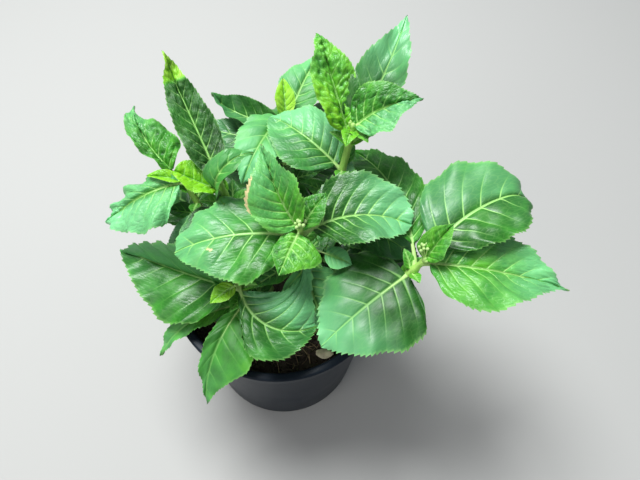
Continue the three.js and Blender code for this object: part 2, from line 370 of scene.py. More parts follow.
shoots = {
    "centre": {"foot": (14, -18), "tip": (24, -8, 352), "lean": 0.5, "leafyFrom": 0.45, "leaves": [
        leaf(0.9, 189, -6, 112, 92, bend=45, fold=8, cup=30, full=0.55, sway=16,
             veins=0.9, bloom=(0.55, 0.0, 0.1), spots=((72, 13, 1.6), (75, 11, 1.3))),
        leaf(0.9, 9, 3.5, 96, 84, bend=46, fold=26, sway=-45, stalk=14, peak=0.5, tone=0.27,
             veins=0.95, bloom=(0.9, 0.0, 0.0), halves=(1.0, 0.9), teeth=1.15, moreVeins=2),
        leaf(0.97, 123, 36, 82, 62, bend=30, fold=38, cup=20, roll=28, sway=-20, stalk=4, tone=0.6, puff=1.5,
             veins=1.0, bloom=(0.4, 0.2, 0.0), dryEdge=(0.32, 0.75), halves=(1.0, 0.85), moreVeins=2,
             tipPinch=(0.35, 0.2), teeth=1.0),
        leaf(0.97, 250, -8, 42, 52, bend=45, fold=5, cup=30, stalk=6, tone=0.6, puff=1.7,
             bloom=noPaintedSheen, veins=0.9, halves=(1.1, 0.58), tipPinch=(0.25, 0.0)),
        leaf(0.99, 50, 34, 36, 28, bend=20, fold=20, cup=20, stalk=4, tone=0.58, puff=1.9, bloom=noPaintedSheen),
        leaf(0.66, 297, -22, 66, 62, bend=30, fold=8, cup=20, stalk=12, tone=0.48, matte=0.6,
             veins=1.0, bloom=(0.3, 0.6, 0.5)),
        leaf(0.55, 12, -2, 80, 56, fold=8, cup=20, stalk=14, tone=0.12),
        leaf(0.8, 343, -2, 28, 24, fold=8, cup=20, stalk=27, tone=0.55, matte=0.9, veins=0.3, puff=0.4,
             bloom=(0.3, 0.6, 0.6)),
    ]},
    "right": {"foot": (34, -56), "tip": (136, -30, 345), "lean": 0.75, "leafyFrom": 0.38, "leaves": [
        leaf(0.97, 33, 9, 121, 100, bend=40, cup=25, sway=-42, stalk=21, tone=0.34, puff=0.55, matte=0.2,
             veins=0.9, bloom=(0.1, 0.3, 0.0), halves=(1.0, 0.74), tipPinch=(0.2, 0.0), curl=55,
             shoulder=(0.2, 0.3)),
        leaf(0.97, 356, -8, 137, 90, fold=16, stalk=7, peak=0.33, tone=0.58, puff=1.35, moreVeins=3,
             veins=0.95, halves=(1.12, 0.95), tipPinch=(0.1, 0.2), bloom=(0.8, 0.15, 0.1), teeth=0.8),
        leaf(0.99, 46, 48, 42, 32, bend=15, fold=35, cup=10, stalk=3, tone=0.6, puff=2.2, matte=0.9,
             bloom=noPaintedSheen),
        leaf(0.9, 113, -3, 132, 57, bend=40, fold=18, cup=10, sway=40, stalk=24, peak=0.5, tone=0.48,
             matte=0.4, veins=0.9, bloom=noPaintedSheen, moreVeins=2),
        leaf(0.84, 220, -16, 106, 106, bend=42, fold=5, cup=25, stalk=3, peak=0.38, full=0.5, tone=0.27,
             matte=0.6, veins=0.45, puff=0.45, bloom=(0.75, 0.0, 0.0), teeth=1.15),
        lowLeaf(0.5, 70, -18, 104, stalk=12),
        lowLeaf(0.45, 105, -24),
    ]},
    "upper_right": {"foot": (30, 8), "tip": (66, 82, 388), "lean": 0.7, "leafyFrom": 0.36, "leaves": [
        leaf(0.92, 118, 38, 92, 48, bend=20, fold=22, cup=10, tone=0.74, puff=2.4, full=0.55,
             bloom=(0.1, 0.0, 0.0), moreVeins=2),
        leaf(0.9, 63, 38, 117, 56, fold=20, cup=10, sway=20, stalk=12, tone=0.25, puff=0.9, veins=0.55,
             bloom=(0.9, 0.0, 0.0), moreVeins=1, tipPinch=(0.2, 0.1), basePinch=(0.0, 0.9),
             halves=(1.0, 0.9)),
        leaf(0.99, 10, 27, 67, 68, fold=20, cup=0, roll=-18, sway=-35, stalk=4, tone=0.54, puff=2.0,
             veins=0.95, bloom=(0.1, 0.0, 0.5), halves=(0.76, 0.82), tipPinch=(0.3, 0.3)),
        leaf(0.74, 142, 3, 94, 78, bend=45, stalk=8, tone=0.44, puff=1.3, bloom=(0.4, 0.15, 0.6),
             moreVeins=1),
        leaf(0.97, 258, 18, 26, 17, bend=70, fold=25, stalk=2, tone=0.85, puff=1.8, bloom=noPaintedSheen),
        leaf(0.97, 310, 18, 24, 15, bend=70, fold=25, stalk=2, tone=0.8, puff=1.8, bloom=noPaintedSheen),
        lowLeaf(0.45, 40, -14, 104, 66, stalk=12),
        lowLeaf(0.45, 335, -2, 92, 58, stalk=12),
        lowLeaf(0.55, 0, -8),
        lowLeaf(0.42, 165, -8),
    ]},
    "left": {"foot": (-34, 6), "tip": (-98, 56, 325), "lean": 0.75, "leafyFrom": 0.38, "leaves": [
        leaf(0.97, 128, 11, 100, 44, bend=25, fold=22, cup=10, sway=-48, stalk=18, tone=0.52, puff=2.6,
             halves=(0.75, 1.25), tipPinch=(0.0, 0.9), bloom=(0.6, 0.0, 0.0), shoulder=(0.8, 0.0),
             curl=40, peak=0.3, basePinch=(0.4, 0.0), teeth=0.5, moreVeins=2, ruffle=2.0),
        leaf(0.97, 201, -25, 95, 84, bend=65, fold=8, cup=20, stalk=6, tone=0.52, puff=1.65,
             bloom=(0.5, 0.65, 0.5), halves=(1.0, 0.42), moreVeins=1, ruffle=2.5),
        leaf(0.97, 177, 6, 36, 17, bend=30, fold=34, cup=0, stalk=4, tone=0.98, puff=1.6, bloom=noPaintedSheen),
        lowLeaf(0.5, 140, -16, 104, stalk=12),
        lowLeaf(0.45, 285, -24),
    ]},
    "left_centre": {"foot": (-14, -8), "tip": (-56, 40, 345), "lean": 0.7, "leafyFrom": 0.5, "leaves": [
        leaf(0.97, 122, 29, 130, 45, bend=10, fold=18, cup=10, curl=-50, stalk=8, tone=0.25, puff=1.7,
             matte=0.8, tipTone=0.82, bloom=noPaintedSheen, halves=(0.9, 0.9), veins=0.9, moreVeins=4, teeth=0.5),
        leaf(0.93, 172, 24, 46, 40, bend=-20, fold=30, cup=0, stalk=5, peak=0.55, full=0.45, tone=0.92,
             puff=2.2, ruffle=1.5, bloom=noPaintedSheen),
        leaf(0.9, 38, 48, 74, 30, bend=170, fold=25, cup=0, stalk=6, tone=0.4, bloom=(0.1, 0.2, 0.1)),
        leaf(0.8, 206, -36, 76, 36, bend=40, fold=10, cup=10, stalk=20, tone=0.36, matte=0.6,
             bloom=(0.5, 0.4, 0.4)),
        leaf(0.75, 225, -5, 60, 44, bend=40, fold=10, cup=10, stalk=6, tone=0.2, puff=1.6),
    ]},
    "back": {"foot": (2, 30), "tip": (-3, 146, 326), "lean": 0.8, "leafyFrom": 0.36, "leaves": [
        leaf(0.88, 161, 7, 90, 46, bend=-30, fold=46, cup=0, roll=10, curl=-45, stalk=8, full=0.5, tone=0.3,
             bloom=(0.2, 0.2, 0.0), teeth=0.5),
        leaf(0.7, 170, 7, 94, 58, bend=30, fold=8, cup=10, stalk=8, tone=0.15),
        leaf(0.95, 70, 14, 84, 50, bend=30, fold=10, cup=10, stalk=8, tone=0.46, matte=0.6,
             bloom=(0.3, 0.4, 0.2)),
        leaf(0.98, 100, 44, 40, 26, bend=30, fold=30, cup=0, stalk=4, tone=1.12, puff=1.4, bloom=noPaintedSheen),
        leaf(0.93, 260, 4, 60, 50, stalk=6),
        leaf(0.97, 249, 4, 103, 58, bend=92, fold=8, stalk=8, tone=0.5, puff=0.7, matte=0.8, veins=0.5,
             bloom=(0.5, 0.4, 0.4), teeth=1.1),
        lowLeaf(0.5, 100, -12, 112, 70),
        lowLeaf(0.42, 40, -12, 104, 74),
        lowLeaf(0.43, 150, -16),
        lowLeaf(0.68, 45, 0),
        lowLeaf(0.68, 90, -16),
    ]},
    "front": {"foot": (-12, -38), "tip": (-34, -44, 300), "lean": 0.6, "leafyFrom": 0.3, "leaves": [
        leaf(0.85, 161, -8, 138, 104, bend=-25, fold=44, cup=10, roll=48, sway=-20, tone=0.4,
             puff=0.7, bloom=(0.1, 0.0, 0.35), veins=0.6, halves=(1.0, 1.12)),
        leaf(0.97, 338, -8, 88, 96, fold=14, cup=6, roll=-14, sway=85, stalk=6, tone=0.3, puff=1.1, teeth=1.0,
             bloom=(0.1, 0.55, 0.0), skew=-5, halves=(1.06, 0.72), veins=0.65, shoulder=(0.8, 0.0),
             sweep=(0.5, 0.0), basePinch=(0.3, 0.75)),
        leaf(0.6, 250, -26, 110, 58, bend=80, sway=28, fold=8, cup=10, stalk=16, tone=0.46, puff=0.4,
             matte=0.9, veins=0.22, halves=(1.3, 0.45), tipPinch=(0.45, 0.45), bloom=(0.2, 0.0, 0.0),
             teeth=0.5),
        leaf(0.4, 209, -15, 102, 38, bend=90, sway=30, fold=10, cup=10, stalk=24, tone=0.56, puff=0.5,
             matte=0.7, veins=0.3, halves=(0.6, 0.9), tipPinch=(0.2, 0.2)),
        leaf(0.99, 222, 0, 28, 20, bend=40, fold=20, cup=0, stalk=4, tone=1.05, puff=1.6, bloom=noPaintedSheen),
    ]},
}


# A stem leans out from its foot and turns up under its bud
def stemPoint(shoot, share):
    foot = np.array([*shoot["foot"], soilTop + stem["soilGap"]])
    tip = np.array(shoot["tip"], float)
    knee = foot + (tip - foot) * np.array([shoot["lean"], shoot["lean"], stem["kneeHeight"]])
    share = np.atleast_1d(share)[:, None]
    return foot * (1 - share) ** 2 + knee * 2 * share * (1 - share) + tip * share ** 2


def stemRadius(share):
    swell = np.clip(1 - share / stem["flareEnd"], 0, 1)
    radius = stem["footRadius"] + (stem["tipRadius"] - stem["footRadius"]) * share
    radius = radius + stem["flare"] * swell ** 2
    return radius * (1 - stem["tipTaper"] * smoothStep(stem["taperFrom"], 1.0, share))


# The line of a leaf from its root on the stem to its tip, as points and directions by distance
class LeafLine:
    def __init__(self, shoot, spec, steps=120):
        heading, rise, roll = (math.radians(spec[key]) for key in ("heading", "rise", "roll"))
        ahead = np.array([math.cos(heading), math.sin(heading), 0])
        above = np.array([0, 0, 1])
        chord = ahead * math.cos(rise) + above * math.sin(rise)
        level = above * math.cos(rise) - ahead * math.sin(rise)
        left = np.cross(level, chord)
        up = level * math.cos(roll) + left * math.sin(roll)
        side = left * math.cos(roll) - level * math.sin(roll)
        self.total = spec["stalk"] + spec["length"]
        share = np.linspace(0, 1, steps + 1)
        directions = self.direction(spec, share, chord, up, side)
        middles = self.direction(spec, (share[1:] + share[:-1]) / 2, chord, up, side)
        root = stemPoint(shoot, spec["at"])[0]
        self.share = share
        self.points = root + np.vstack([np.zeros(3), np.cumsum(middles * self.total / steps, axis=0)])
        self.ups = unit(up - directions * (directions @ up)[:, None])
        self.along = directions

    def direction(self, spec, share, chord, up, side):
        curled = smoothStep(blade["curlFrom"], 1, share)
        pitch = np.radians(spec["bend"] * (0.5 - share) - spec["curl"] * curled)
        yaw = np.radians(spec["sway"] * (share - 0.5))
        forward = np.cos(pitch) * np.cos(yaw)
        sideways = np.cos(pitch) * np.sin(yaw)
        return forward[:, None] * chord + np.sin(pitch)[:, None] * up + sideways[:, None] * side

    def between(self, rows, share):
        return np.stack([np.interp(share, self.share, rows[:, k]) for k in range(3)], -1)

    # point, up and left directions at any distance, which may be an array of any shape
    def at(self, distance):
        share = np.clip(distance / self.total, 0, 1)
        beyond = np.maximum(distance - self.total, 0)[..., None]
        along = unit(self.between(self.along, share))
        up = unit(self.between(self.ups, share))
        return self.between(self.points, share) + along * beyond, up, np.cross(up, along)


# How every blade is drawn: side veins leave the midrib and run out and forward to the margin
blade = {
    "small": 60,  # a shorter blade has one pair of veins and one row to a tooth less
    "pointed": 1.15,
    "curlFrom": 0.65,
    "lobes": 0.035,
    "lobeWaves": ((3.1, 1.0), (7.3, 0.6)),  # half waves along the blade, and their share
    "tipPinchFrom": (0.5, 0.88),
    "basePinchFrom": (0.55, 0.15),
    "shoulderAt": 0.72,
    "shoulderLength": 0.16,
    # teeth
    "toothPitch": 0.05,  # of the blade's length
    "toothHeight": 0.38,  # of the pitch
    "toothLean": 0.6,
    "toothInset": 0.6,  # of the teeth's height
    "toothLimit": 0.28,  # of the half width
    "toothSteep": 0.75,  # where along its pitch a tooth is highest
    "toothSizes": (0.75, 1.15),
    "toothedFrom": (0.1, 0.3),
    "toothedTo": (1.0, 0.93),
    "rowsPerTooth": 4,
    # veins
    "veinPairs": 6,
    "veinSpread": 1.45,
    "veinForward": (0.62, 0.46),  # narrow and broad leaves
    "veinWidth": (0.62, 0.28),  # at the midrib and the margin
    "ribWidth": (1.9, 0.4),  # at the base and the tip
    "grooveDepth": 0.45,
    "grooveWidth": 1.6,  # of the vein's
    "midribDepth": 0.7,
    "midribWidth": 1.4,  # of the rib's
    # relief
    "columnWidth": (2.4, 1.25),  # smooth and crumpled leaves
    "columns": (7, 22),
    "sheet": 0.22,  # half of the blade's thickness
    "quilt": 0.9,
    "pucker": 0.9,
    "puckerLength": 9.5,
    "crumpledFrom": (1.2, 1.8),
    "blisterDensity": 0.17,  # to the square millimetre of one half
    "blisterRadii": (1.9, 4.2),
    "blisterHeight": 2.7,
    "heave": 1.7,
    "heaveLengths": (58, 37, 23),
    "waveHeight": 1.9,
    "waveLength": 27,
    # drawing
    "patternShift": 900,  # sets each leaf's pattern at a place of its own
    "sideShift": 20.0,
    "shade": 0.04,
    # where the lighter tip, partly painted glow, begins and is full
    "tipToneFrom": (0.74, 0.8),
}


def halfWidth(spec, share):
    share = np.clip(share, 0, 1)
    peak, full = spec["peak"], spec["full"]
    fall = full * (1 - peak) / peak * blade["pointed"]
    return spec["width"] / 2 * (share / peak) ** full * ((1 - share) / (1 - peak)) ** fall


# Where a vein ends is its start to this power; in narrow leaves veins run out more steeply
def veinForward(spec):
    return np.interp(spec["width"] / spec["length"], [0.3, 0.75], blade["veinForward"])


# Rows of a half blade: each starts on the midrib and ends on the margin, where the rows are spaced
# evenly from vein to vein, so that a whole number of teeth fits between two veins
def bladeRows(spec):
    length = spec["length"]
    ends = np.linspace(0.003, 0.997, 900)
    outline = np.stack([ends * length, halfWidth(spec, ends)], -1)
    arc = np.concatenate([[0], np.cumsum(np.linalg.norm(np.diff(outline, axis=0), axis=1))])
    fewer = 0 if length > blade["small"] else 1
    pairs = blade["veinPairs"] + spec["moreVeins"] - fewer
    veins = (np.arange(1, pairs + 1) / (pairs + 1)) ** blade["veinSpread"]
    veinArcs = np.interp(veins ** veinForward(spec), ends, arc)
    stops = np.concatenate([[0], veinArcs, [arc[-1]]])
    pitch = blade["toothPitch"] * max(length, blade["small"])
    perTooth = blade["rowsPerTooth"] - fewer
    places, teeth, gaps = [], [], []
    for number, (low, high) in enumerate(zip(stops[:-1], stops[1:])):
        count = max(1, round((high - low) / pitch)) * perTooth
        share = np.arange(count) / count
        places.append(low + (high - low) * share)
        teeth.append(np.arange(count) % perTooth / perTooth)
        gaps.append(number + share)
    places = np.concatenate(places + [[arc[-1]]])
    teeth = np.concatenate(teeth + [[0.0]])
    gaps = np.concatenate(gaps + [[len(stops) - 1.0]])
    return {"arc": places, "end": np.interp(places, arc, ends), "tooth": teeth, "gap": gaps, "pitch": pitch}


# Slow waves over the whole blade, none at the midrib
def heave(spec, x, y, out, rng):
    height = 0
    for size in blade["heaveLengths"]:
        angle, phase = rng.uniform(0, 2 * np.pi, 2)
        across = x * math.cos(angle) + y * math.sin(angle)
        height = height + np.sin(2 * np.pi * across / size + phase) * size / blade["heaveLengths"][0]
    strength = blade["heave"] * min(1, spec["length"] / 100) * (0.35 + 0.65 * min(1, spec["puff"]))
    return height * strength * smoothStep(0, 0.4, out)


# Blisters of a crumpled leaf: round swellings of all sizes at random places, the highest one counts
def blisters(spec, x, y, rng):
    height = np.zeros(x.shape)
    count = int(spec["length"] * spec["width"] / 2 * blade["blisterDensity"])
    for k in range(count):
        across = rng.uniform(0, spec["width"] / 2)
        along = rng.uniform(0, spec["length"])
        radius = rng.uniform(*blade["blisterRadii"])
        away = np.hypot((x - along) * rng.uniform(0.7, 1.3), y - across) / radius
        height = np.maximum(height, np.clip(1 - away ** 2, 0, 1) ** 0.8 * radius / blade["blisterRadii"][1])
    return height


# How far each row of a half blade reaches out from the midrib, before its teeth
def halfReach(spec, end, half, rng):
    lobes = 0
    for waves, height in blade["lobeWaves"]:
        lobes = lobes + height * np.sin(waves * np.pi * end + rng.uniform(0, 6.3))
    away = (end - blade["shoulderAt"]) / blade["shoulderLength"]
    reach = halfWidth(spec, end) * (1 + blade["lobes"] * lobes) * spec["halves"][half]
    reach = reach * (1 - spec["tipPinch"][half] * smoothStep(*blade["tipPinchFrom"], end))
    reach = reach * (1 - spec["basePinch"][half] * smoothStep(*blade["basePinchFrom"], end))
    return reach * (1 + spec["shoulder"][half] * np.exp(-away ** 2))


# Flat shape, relief and vein distances of one half; y is the distance from the midrib
def halfBlade(spec, rows, half, rng):
    length = spec["length"]
    crumpled = smoothStep(*blade["crumpledFrom"], spec["puff"])
    columnWidth = np.interp(crumpled, [0, 1], blade["columnWidth"])
    column = np.linspace(0, 1, int(np.clip(spec["width"] / 2 / columnWidth, *blade["columns"])) + 1)
    out = (0.5 * (1 - np.cos(np.pi * column)) + 2 * column) / 3  # closer at the midrib and the margin
    end = rows["end"]
    start = end ** (1 / veinForward(spec))
    reach = halfReach(spec, end, half, rng)
    toothed = smoothStep(*blade["toothedFrom"], end) * smoothStep(*blade["toothedTo"], end)
    tall = rows["pitch"] * blade["toothHeight"] * toothed
    tall = tall * spec["teeth"] * min(1, (spec["width"] / 70) ** 0.7)
    tall = np.minimum(tall, blade["toothLimit"] * reach)
    reach = reach - blade["toothInset"] * tall
    x = (start[:, None] + (end - start)[:, None] * (0.78 * out + 0.22 * out ** 2)) * length
    y = reach[:, None] * out
    x = x + spec["sweep"][half] * y
    # teeth lean towards the tip
    tangent = unit(np.stack([np.gradient(end * length), np.gradient(reach)], -1))
    tooth, steep = rows["tooth"], blade["toothSteep"]
    saw = np.where(tooth < steep, (tooth / steep) ** 1.3, (1 - tooth) / (1 - steep))
    height = saw * tall * rng.uniform(*blade["toothSizes"], len(end))
    edge = out ** 12
    x = x + edge * (height * (tangent[:, 0] * blade["toothLean"] - tangent[:, 1]))[:, None]
    y = y + edge * (height * (tangent[:, 0] + tangent[:, 1] * blade["toothLean"]))[:, None]
    # distance to the nearest side vein
    phase = rows["gap"] - np.floor(rows["gap"])
    away = np.minimum(phase, 1 - phase) * 2
    whole = np.flatnonzero(phase < 1e-6)
    number = np.clip(np.floor(rows["gap"]).astype(int), 0, len(whole) - 2)
    flat = np.stack([x, y], -1)
    spacing = np.linalg.norm(flat[whole][1:] - flat[whole][:-1], axis=-1)[number]
    veinDistance = away[:, None] / 2 * spacing * 0.84  # the veins slant, so less than along the row
    veinLength = np.hypot(x - start[:, None] * length, y)
    # swelling between the veins, puckers across it, and a wavy margin
    puff = spec["puff"] * blade["quilt"] * min(1, length / 90)
    dome = 1 - (1 - away[:, None]) ** 2
    inner = (1 - np.exp(-out / (0.07 + 0.12 * crumpled))) * (1 - 0.65 * out ** 4)
    turns = rng.uniform(0, 2 * np.pi, (2, len(whole) + 1))[:, number][..., None]
    skew = 1.3 * np.sin(np.pi * phase)[:, None]
    turn = 2 * np.pi * veinLength / blade["puckerLength"]
    ripple = 0.6 * np.cos(turn + turns[0] + skew) + 0.5 * np.cos(1.63 * turn + turns[1] - skew)
    fading = (1 - 0.55 * out) * smoothStep(0.4, 1.1, spec["puff"])
    even = 1 + blade["pucker"] * ripple * fading
    swell = puff * dome * inner * even * (1 - 0.75 * crumpled)
    # where blisters crowd, the creases between them get painted shade in the leaf material
    crease = np.zeros(x.shape)
    if crumpled > 0:
        raised = blisters(spec, x, y, rng)
        swell = swell + crumpled * puff * inner * raised * blade["blisterHeight"]
        crease = crumpled * inner * (1 - np.clip(raised * 1.2, 0, 1))
    swell = swell + heave(spec, x, y, out, rng)
    wave = np.sin(2 * np.pi * rows["arc"] / blade["waveLength"] + rng.uniform(0, 6.3))[:, None]
    wave = wave * blade["waveHeight"] * spec["ruffle"] * out ** 3 * min(1, length / 100)
    # veins lie in grooves above and stand out below
    fine = veinDistance / np.interp(out, [0, 1], blade["veinWidth"])
    groove = np.exp(-(fine / blade["grooveWidth"]) ** 2) * inner * (1 - 0.6 * out)
    groove = groove * min(1, 0.4 + 0.6 * spec["puff"]) * blade["grooveDepth"]
    ribWidth = np.interp(x / length, [0, 1], blade["ribWidth"])
    midrib = np.exp(-(y / ribWidth / blade["midribWidth"]) ** 2) * blade["midribDepth"]
    # the two sides meet at the margin and at both ends
    fromEnd = np.minimum(np.arange(len(end)), np.arange(len(end))[::-1])
    closed = (1 - edge) * np.minimum(1, fromEnd / 2)[:, None]
    sheet = blade["sheet"] * closed
    body = swell + wave
    top = body + sheet - closed * (groove + midrib)
    under = body - sheet - closed * (1.3 * groove + 2 * midrib)
    ladder = np.broadcast_to(rows["gap"][:, None] * 2.1, x.shape)
    return {"x": x, "y": y, "top": top, "under": under, "vein": fine, "rib": y / ribWidth,
            "veinLength": veinLength, "ladder": ladder, "crease": crease * closed,
            "swell": dome * inner * closed, "out": np.broadcast_to(out, x.shape)}


# How far the midrib stands to the left of the leaf's line
def midribShift(spec, x):
    return spec["skew"] * np.sin(np.pi * np.clip(x / spec["length"], 0, 1))


# Lays flat blade points on the leaf's line: folded at the midrib, cupped towards the margin
def layBlade(spec, line, x, y, height):
    point, up, left = line.at(spec["stalk"] + x)
    share = np.abs(y) / (spec["width"] / 2)
    lift = np.radians(spec["fold"] - spec["cup"] * share / 2)[..., None]
    slope = np.radians(spec["fold"] - spec["cup"] * share)[..., None]
    hand = np.sign(y)[..., None]
    across = np.abs(y)[..., None]
    height = height[..., None]
    point = point + left * midribShift(spec, x)[..., None]
    return (point + left * hand * (across * np.cos(lift) - height * np.sin(slope))
            + up * (across * np.sin(lift) + height * np.cos(slope)))


def gridFaces(numbers):
    corners = [numbers[:-1, :-1], numbers[1:, :-1], numbers[1:, 1:], numbers[:-1, 1:]]
    return np.stack(corners, -1).reshape(-1, 4)


# A whole leaf: both halves side by side, its top and its underside joined at the rim
def addLeaf(heap, spec, line, rng):
    rows = bladeRows(spec)
    left = halfBlade(spec, rows, 0, rng)
    right = halfBlade(spec, rows, 1, rng)
    both = {}
    for key in left:
        hand = -1 if key == "y" else 1
        both[key] = np.concatenate([hand * right[key][:, :0:-1], left[key]], axis=1)
    isLeft = both["y"] > 0
    along = both["x"] / spec["length"]
    shape = both["x"].shape
    topPoints = layBlade(spec, line, both["x"], both["y"], both["top"]).reshape(-1, 3)
    underPoints = layBlade(spec, line, both["x"], both["y"], both["under"])[1:-1, 1:-1].reshape(-1, 3)
    topNumbers = np.arange(shape[0] * shape[1]).reshape(shape)
    underNumbers = topNumbers.copy()
    extra = (shape[0] - 2) * (shape[1] - 2)
    underNumbers[1:-1, 1:-1] = topNumbers.size + np.arange(extra).reshape(shape[0] - 2, shape[1] - 2)
    quads = np.concatenate([gridFaces(topNumbers), gridFaces(underNumbers)[:, ::-1]])

    def twice(values):
        return np.concatenate([values.reshape(-1), values[1:-1, 1:-1].reshape(-1)])

    # the pattern of each leaf and each of its halves lies at a place of its own
    pattern = np.full(shape, rng.uniform(0, blade["patternShift"]))
    place = np.stack([twice(both["x"]), twice(both["y"]), twice(pattern)], -1)
    shade = rng.uniform(-blade["shade"], blade["shade"])
    sides = np.where(isLeft, blade["sideShift"], 0.0) + rng.uniform(0, blade["patternShift"])
    rungs = both["veinLength"] / leafLook["ladder"]
    ladder = np.stack([twice(rungs), twice(both["ladder"]), twice(sides)], -1)
    dry = np.zeros(shape)
    for x, y, radius in spec["spots"]:
        dry = np.maximum(dry, 1 - np.hypot(both["x"] - x, both["y"] - y) / radius / 2)
    if spec["dryEdge"]:
        low, high = spec["dryEdge"]
        inside = smoothStep(low, low + 0.1, along) * smoothStep(high, high - 0.1, along)
        dry = np.maximum(dry, inside * smoothStep(0.91, 0.99, both["out"]) * isLeft)
    rim = np.zeros(len(topPoints) + extra)
    rim[np.intersect1d(topNumbers, underNumbers)] = 1
    # painted sheen: lighter towards the tip and over each half, standing in for the sky's reflection
    tipPaintedSheen, leftPaintedSheen, rightPaintedSheen = spec["bloom"]
    bloom = tipPaintedSheen * smoothStep(0.3, 0.95, along)
    bloom = bloom + np.where(isLeft, leftPaintedSheen, rightPaintedSheen) * smoothStep(0.05, 0.3, both["out"])
    # the lighter tip is partly its own paler green and partly painted light shining through it
    tone = spec["tone"] + shade + spec["tipTone"] * smoothStep(*blade["tipToneFrom"], along)
    heap.add(
        np.concatenate([topPoints, underPoints]), quads, bladePlace=place, ladder=ladder, rim=rim,
        vein=twice(both["vein"]), rib=twice(np.abs(both["rib"])), swell=twice(both["swell"]),
        crease=twice(both["crease"]), out=twice(both["out"]), age=twice(along), tone=twice(tone),
        bloom=twice(bloom), dry=twice(dry), veins=np.float64(spec["veins"]),
        matte=np.float64(spec["matte"]), puff=np.float64(spec["puff"]),
    )
    flat = np.stack([both["x"].reshape(-1), both["y"].reshape(-1)], -1)
    heap.sheets.append((spec, flat, underNumbers, topNumbers))


# Bake layout: the top and the underside of every leaf lie flat beside each other, on shelves
def layOutSheets(piece, sheets):
    margin = 4
    cells = []
    for spec, flat, underNumbers, topNumbers in sheets:
        for numbers in (topNumbers, underNumbers):
            cells.append((flat, numbers))
    sizes = [np.ptp(flat, axis=0) + margin for flat, numbers in cells]
    shelf = math.sqrt(sum(size[0] * size[1] for size in sizes)) * 1.1
    order = sorted(range(len(cells)), key=lambda k: -sizes[k][1])
    corner = np.zeros(2)
    tall = 0
    corners = {}
    for k in order:
        if corner[0] + sizes[k][0] > shelf:
            corner = np.array([0, corner[1] + tall])
            tall = 0
        corners[k] = corner.copy()
        tall = max(tall, sizes[k][1])
        corner[0] += sizes[k][0]
    whole = max(shelf, corner[1] + tall)
    places = []
    for k, (flat, numbers) in enumerate(cells):
        local = (flat - flat.min(0) + margin / 2 + corners[k]) / whole
        faces = gridFaces(np.arange(numbers.size).reshape(numbers.shape))
        if k % 2:
            faces = faces[:, ::-1]
        places.append(local[faces.ravel()])
    layer = piece.data.uv_layers.new(name="OFBake")
    layer.data.foreach_set("uv", np.concatenate(places).astype(np.float32).ravel())


# Faces of a row of rings that one more point closes at each end
def closedRings(rings, sides):
    numbers = np.arange(rings * sides).reshape(rings, sides)
    numbers = np.concatenate([numbers, numbers[:, :1]], axis=1)
    first, last = rings * sides, rings * sides + 1
    start = np.stack([numbers[0, 1:], numbers[0, :-1], np.full(sides, first)], -1)
    end = np.stack([numbers[-1, :-1], numbers[-1, 1:], np.full(sides, last)], -1)
    return gridFaces(numbers)[:, ::-1], np.concatenate([start, end])


# A tube for a stem or a stalk: a ring of points at each step, with a flattened top on stalks
def addTube(heap, points, radii, sides, up=None, flatten=0.0, **values):
    along = unit(np.gradient(points, axis=0))
    if up is None:
        up = unit(np.cross(along, [1.0, 0.0, 0.0]))
    side = np.cross(up, along)
    angle = np.linspace(0, 2 * np.pi, sides, endpoint=False)
    if np.ndim(radii) == 1:
        radii = np.repeat(radii[:, None], sides, axis=1)
    grooved = radii * (1 - flatten * np.clip(np.cos(angle), 0, 1) ** 6)
    outward = up[:, None] * np.cos(angle)[:, None] + side[:, None] * np.sin(angle)[:, None]
    body = (points[:, None] + grooved[..., None] * outward).reshape(-1, 3)
    spread = {}
    for key, value in values.items():
        value = np.broadcast_to(value, len(points))
        spread[key] = np.concatenate([np.repeat(value, sides), [value[0], value[-1]]])
    heap.add(np.concatenate([body, points[:1], points[-1:]]), *closedRings(len(points), sides), **spread)


# A stalk runs on under the blade, where it sinks into the midrib
stalk = {
    "underBlade": 0.3,  # of the blade's length
    "steps": 26,
    "sides": 12,
    "places": (0, 0.12, 0.3, 1),
    "radii": (3.1, 2.3, 1.75, 0.5),
    "sinkLength": 6,
    "flatten": 0.22,
    "tones": (0.92, 1.17),
}


def addStalk(heap, spec, line):
    distance = np.linspace(0, spec["stalk"] + stalk["underBlade"] * spec["length"], stalk["steps"])
    point, up, left = line.at(distance)
    point = point + left * midribShift(spec, distance - spec["stalk"])[:, None]
    share = distance / distance[-1]
    radius = min(1, 0.45 + spec["length"] / 160) * np.interp(share, stalk["places"], stalk["radii"])
    sink = smoothStep(spec["stalk"] * 0.5, spec["stalk"] + stalk["sinkLength"], distance)
    sink = sink * (radius * 0.55 + 0.55)
    addTube(heap, point - up * sink[:, None], radius, stalk["sides"], up=up, flatten=stalk["flatten"],
            age=np.float64(0.05), tone=np.interp(share, [0, 1], stalk["tones"]))


# Small growth inside the crown: opposite pairs of little leaves up each stem, each pair crossing the last
sprouts = {
    "pairs": 4,
    "lengths": (44, 18),  # low and high on the stem
    "widthShare": 0.58,
    "stalkShare": 0.22,
    "rises": (8, 42),
    "tones": (0.35, 0.7),
    "lowest": 0.03,  # over leafyFrom
    "highest": 0.93,
}


def sproutLeaves(shoot, rng):
    leaves = []
    turn = rng.uniform(0, 90)
    for pair in range(sprouts["pairs"]):
        share = (pair + rng.uniform(0.3, 0.7)) / sprouts["pairs"]
        low = shoot["leafyFrom"] + sprouts["lowest"]
        at = low + (sprouts["highest"] - low) * share
        length, rise, tone = (np.interp(share, [0, 1], sprouts[key]) for key in ("lengths", "rises", "tones"))
        for hand in range(2):
            size = length * rng.uniform(0.75, 1.15)
            heading = turn + pair * 90 + hand * 180 + rng.uniform(-15, 15)
            # each sprout gets a little painted sheen at its tip
            leaves.append(leaf(at, heading, rise, size, size * sprouts["widthShare"],
                               stalk=size * sprouts["stalkShare"], fold=22, bend=rng.uniform(20, 50),
                               tone=tone, puff=1.3, bloom=(0.1, 0.0, 0.0)))
    return leaves


